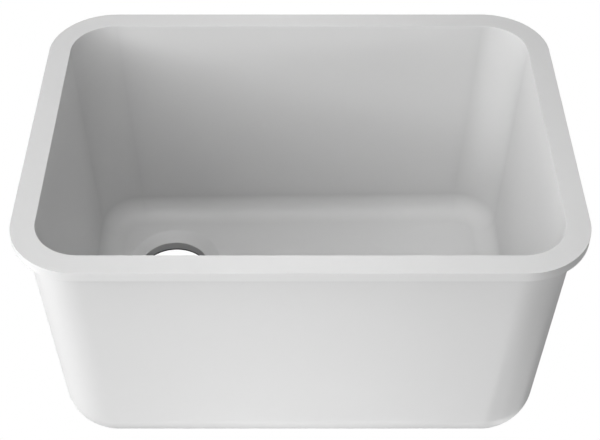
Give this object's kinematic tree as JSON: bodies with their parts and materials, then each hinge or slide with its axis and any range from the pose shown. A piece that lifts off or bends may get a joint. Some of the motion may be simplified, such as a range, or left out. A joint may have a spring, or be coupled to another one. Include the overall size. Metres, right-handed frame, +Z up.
{
  "type": "solid surface sink",
  "caption": "Deep rectangular undermount sink of cast solid surface, with a flat bonded rim, coved floor and offset waste opening.",
  "frame": {"origin": "middle of the rim's outline, in the plane of the flat underside that the sink stands on", "axes": "+X to the right along the long side, +Y to the back, where the waste opening is nearer, +Z up"},
  "size_m": [0.597, 0.446, 0.318],
  "materials": {
    "solid_surface": "matte, fine sanded",
    "insert_brass": "turned",
    "fixing_steel": "plain stainless",
    "clip_steel": "zinc plated"
  },
  "bodies": {
    "sink": {"bowl_shell": "solid_surface", "rim_flange": "solid_surface", "threaded_inserts": "insert_brass", "clip_screws": "fixing_steel"},
    "clip_front_left": {"clip_front_left": "clip_steel"},
    "clip_front_right": {"clip_front_right": "clip_steel"},
    "clip_right": {"clip_right": "clip_steel"},
    "clip_back_right": {"clip_back_right": "clip_steel"},
    "clip_back_left": {"clip_back_left": "clip_steel"},
    "clip_left": {"clip_left": "clip_steel"}
  },
  "joints": [
    {"name": "turn_front_left", "type": "hinge", "parent": "sink", "child": "clip_front_left", "pos_m": [-0.165, -0.2158, 0.3065], "axis": [0, 0, 1], "range_deg": [0, 180]},
    {"name": "turn_front_right", "type": "hinge", "parent": "sink", "child": "clip_front_right", "pos_m": [0.165, -0.2158, 0.3065], "axis": [0, 0, 1], "range_deg": [0, 180]},
    {"name": "turn_right", "type": "hinge", "parent": "sink", "child": "clip_right", "pos_m": [0.2913, 0.0165, 0.3065], "axis": [0, 0, 1], "range_deg": [0, 180]},
    {"name": "turn_back_right", "type": "hinge", "parent": "sink", "child": "clip_back_right", "pos_m": [0.165, 0.2158, 0.3065], "axis": [0, 0, 1], "range_deg": [0, 180]},
    {"name": "turn_back_left", "type": "hinge", "parent": "sink", "child": "clip_back_left", "pos_m": [-0.165, 0.2158, 0.3065], "axis": [0, 0, 1], "range_deg": [0, 180]},
    {"name": "turn_left", "type": "hinge", "parent": "sink", "child": "clip_left", "pos_m": [-0.2913, -0.0165, 0.3065], "axis": [0, 0, 1], "range_deg": [0, 180]}
  ]
}
